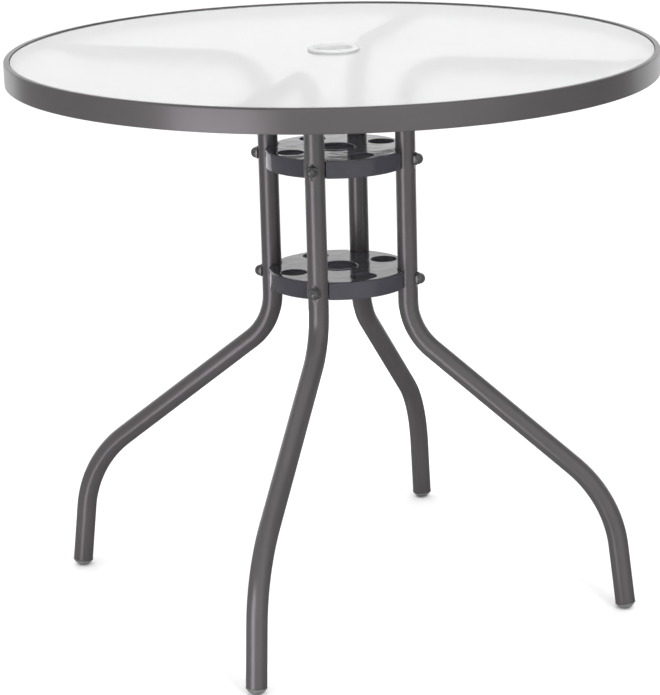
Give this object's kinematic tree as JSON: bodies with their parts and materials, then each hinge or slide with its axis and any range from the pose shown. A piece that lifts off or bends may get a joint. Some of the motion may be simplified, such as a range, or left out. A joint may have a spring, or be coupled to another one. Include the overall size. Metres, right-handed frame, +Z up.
{
  "type": "umbrella table",
  "caption": "Round garden table with a pebbled glass top in a steel rim, on splayed bent tube legs held by moulded hubs, with a hole and collars for a parasol pole.",
  "frame": {"origin": "on the floor, under the middle of the top", "axes": "+Z up along the pole's axis; +X and +Y each run over a leg, leg_1 along +X"},
  "size_m": [0.8, 0.8, 0.7],
  "materials": {
    "frame_steel": "satin powder coat, dark warm grey",
    "pebbled_glass": "clear, with a pebbled underside",
    "clear_plastic": "clear moulded plastic, a little cloudy",
    "hub_plastic": "glossy dark grey moulding",
    "foot_plastic": "satin dark grey moulding",
    "pad_rubber": "soft pale grey",
    "zinc_steel": "bright zinc plate",
    "nut_steel": "dark grey coat, a little glossier than the tubes"
  },
  "bodies": {
    "root": {"rim_band": "frame_steel", "glass_top": "pebbled_glass", "parasol_ring": "clear_plastic", "upper_hub": "hub_plastic", "lower_hub": "hub_plastic", "leg_1": "frame_steel", "leg_2": "frame_steel", "leg_3": "frame_steel", "leg_4": "frame_steel", "foot_cap_1": "foot_plastic", "foot_cap_2": "foot_plastic", "foot_cap_3": "foot_plastic", "foot_cap_4": "foot_plastic", "rim_tab_1": "frame_steel", "rim_tab_2": "frame_steel", "rim_tab_3": "frame_steel", "rim_tab_4": "frame_steel", "arm_screw_1": "zinc_steel", "arm_screw_2": "zinc_steel", "arm_screw_3": "zinc_steel", "arm_screw_4": "zinc_steel", "glass_pad_1": "pad_rubber", "glass_pad_2": "pad_rubber", "glass_pad_3": "pad_rubber", "glass_pad_4": "pad_rubber", "hub_bolt_upper_1": "zinc_steel", "hub_bolt_upper_2": "zinc_steel", "hub_bolt_upper_3": "zinc_steel", "hub_bolt_upper_4": "zinc_steel", "hub_bolt_lower_1": "zinc_steel", "hub_bolt_lower_2": "zinc_steel", "hub_bolt_lower_3": "zinc_steel", "hub_bolt_lower_4": "zinc_steel", "hub_washer_upper_1": "zinc_steel", "hub_washer_upper_2": "zinc_steel", "hub_washer_upper_3": "zinc_steel", "hub_washer_upper_4": "zinc_steel", "hub_washer_lower_1": "zinc_steel", "hub_washer_lower_2": "zinc_steel", "hub_washer_lower_3": "zinc_steel", "hub_washer_lower_4": "zinc_steel", "cap_nut_upper_1": "nut_steel", "cap_nut_upper_2": "nut_steel", "cap_nut_upper_3": "nut_steel", "cap_nut_upper_4": "nut_steel", "cap_nut_lower_1": "nut_steel", "cap_nut_lower_2": "nut_steel", "cap_nut_lower_3": "nut_steel", "cap_nut_lower_4": "nut_steel"}
  },
  "joints": []
}
